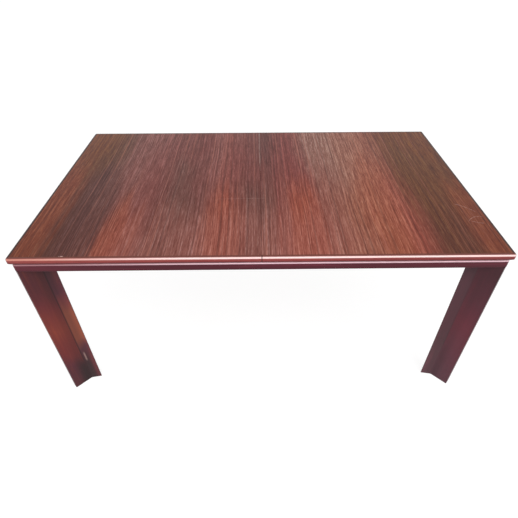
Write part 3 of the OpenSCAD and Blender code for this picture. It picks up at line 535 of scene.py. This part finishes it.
LOOKS = {
    VENEER: ("left_board", "right_board"),
    LEAF_VENEER: ("leaf_board",),
    LIPPING_X: ("left_front_lipping", "right_front_lipping"),
    LIPPING_BACK: ("left_back_lipping", "right_back_lipping"),
    LIPPING_Y: ("left_end_lipping", "right_end_lipping", "leaf_lippings"),
    RIM_X: ("rim_front", "rim_back", "apron_front", "apron_back"),
    RIM_Y: ("rim_left", "rim_right", "apron_left", "apron_right"),
    LIT_LEG: ("leg_front_left", "leg_back_left"),
    SHADED_LEG: ("leg_front_right", "leg_back_right"),
    BEECH_X: ("guide_front", "guide_back", "left_front_runner", "left_back_runner", "right_front_runner",
              "right_back_runner", "left_seam_dowels", "right_seam_dowels", "apron_dowels", "corner_blocks"),
    BEECH_Y: ("cross_rail_left", "cross_rail_middle", "cross_rail_right", "leaf_dowels"),
    BEECH_Z: ("left_stop_pegs", "right_stop_pegs"),
    STEEL: ("hanger_bolts", "hanger_nuts", "guide_screws", "pinion_pins", "left_racks", "right_racks",
            "left_runner_screws", "right_runner_screws", "left_rack_screws", "right_rack_screws",
            "left_lock_plate", "right_lock_plate", "left_lock_catch", "right_lock_catch",
            "left_lock_screws", "right_lock_screws", "pinion_front", "pinion_back",
            "lock_lever_front", "lock_lever_back"),
    NYLON: ("glides",),
}
for material, names in LOOKS.items():
    for name in names:
        mesh = NODES[name].data
        mesh.materials.clear()
        mesh.materials.append(material)


# Floor and light

WHITE = (1.0, 1.0, 1.0, 1.0)
FLOOR_SIZE = 60.0
# Strength of the floor's own white, and its share for rays that see the background
FLOOR_GLOW, FLOOR_GLOW_SHARE = 1.2, 0.76
SKY_LIGHT = 0.25
# Sun lamps that shine on the origin: name, place, strength and spread in degrees
SUNS = (
    ("key", (1.2, -1.8, 3.0), 0.6, 40),
    ("front", (0.4, -3.0, 1.0), 0.7, 30),
    ("overhead", (-0.3, 0.2, 3.0), 0.9, 70),
)
# A long lamp over the front edge
STRIP_PLACE, STRIP_TARGET = (0.6, -1.75, 2.3), (0.3, -0.45, 0.73)
STRIP_POWER, STRIP_LENGTH, STRIP_WIDTH = 20, 3.4, 0.5


def backdrop_ray(s):
    """1 for a ray that sees the background as it is: straight, in a reflection or through glass."""
    path = s.add("LightPath").outputs
    seen = s.plus(path["Is Camera Ray"], path["Is Glossy Ray"])
    return s.math("ADD", seen, path["Is Transmission Ray"], clamp=True)


def floor_material():
    """A pale matt floor that shows white, apart from the object's shadow."""
    s = Shader("studio_floor")
    grain = s.noise(s.position, 6.0, 3.0, 0.5)
    diffuse = s.add("BsdfDiffuse", {"Color": s.mix(grain, rgb("#e2e2e2"), rgb("#e8e8e8"))})
    glow = s.add("Emission", {"Color": WHITE, "Strength": FLOOR_GLOW})
    share = s.times(backdrop_ray(s), FLOOR_GLOW_SHARE)
    mixed = s.add("MixShader", {0: share, 1: diffuse.outputs[0], 2: glow.outputs[0]})
    s.tree.links.new(mixed.outputs[0], s.output.inputs["Surface"])
    return s.material


def studio_world():
    """A dim soft light from all round, and a white background."""
    world = bpy.data.worlds.new("studio")
    world.use_nodes = True
    s = Nodes(world.node_tree)
    light = s.add("Background", {"Color": WHITE, "Strength": SKY_LIGHT})
    white = s.add("Background", {"Color": WHITE, "Strength": 1.0})
    mixed = s.add("MixShader", {0: backdrop_ray(s), 1: light.outputs[0], 2: white.outputs[0]})
    s.tree.links.new(mixed.outputs[0], s.add("OutputWorld").inputs["Surface"])
    return world


def add_lamp(name, kind, place, target, energy, **settings):
    """A lamp that points from its place to its target."""
    data = bpy.data.lights.new(name, kind)
    data.energy = energy
    for key, value in settings.items():
        setattr(data, key, value)
    lamp = bpy.data.objects.new(name, data)
    lamp.location = place
    lamp.rotation_euler = (Vector(target) - Vector(place)).to_track_quat("-Z", "Y").to_euler()
    bpy.context.collection.objects.link(lamp)


bpy.ops.mesh.primitive_plane_add(size=FLOOR_SIZE, location=(0, 0, 0))
floor = bpy.context.object
floor.name = "floor"
floor.data.materials.append(floor_material())

bpy.context.scene.world = studio_world()
for name, place, energy, spread in SUNS:
    add_lamp(name, "SUN", place, (0, 0, 0), energy, angle=math.radians(spread))
add_lamp("strip", "AREA", STRIP_PLACE, STRIP_TARGET, STRIP_POWER,
         shape="RECTANGLE", size=STRIP_LENGTH, size_y=STRIP_WIDTH)

# Camera found from the photograph: place in metres, angles in degrees, focal length and shift in pixels

PHOTO_WIDTH = 518
CAMERA_PLACE = (-0.0151, -1.4880, 1.5637)
CAMERA_YAW = -0.47
CAMERA_DOWN = 40.11
CAMERA_ROLL = 0.20
CAMERA_FOCUS = 408.6
CAMERA_SHIFT = -0.8
SENSOR_WIDTH = 36.0

camera = bpy.data.objects.new("camera", bpy.data.cameras.new("camera"))
bpy.context.collection.objects.link(camera)
camera.data.sensor_width = SENSOR_WIDTH
camera.data.lens = CAMERA_FOCUS / PHOTO_WIDTH * SENSOR_WIDTH
camera.data.shift_x = CAMERA_SHIFT / PHOTO_WIDTH
turn = Matrix.Rotation(math.radians(CAMERA_YAW), 4, "Z") @ Matrix.Rotation(math.radians(-CAMERA_DOWN), 4, "X")
turn = turn @ Matrix.Rotation(math.radians(CAMERA_ROLL), 4, "Y") @ Matrix.Rotation(math.pi / 2, 4, "X")
camera.matrix_world = Matrix.Translation(CAMERA_PLACE) @ turn
bpy.context.scene.camera = camera
bpy.context.scene.view_settings.view_transform = "Standard"
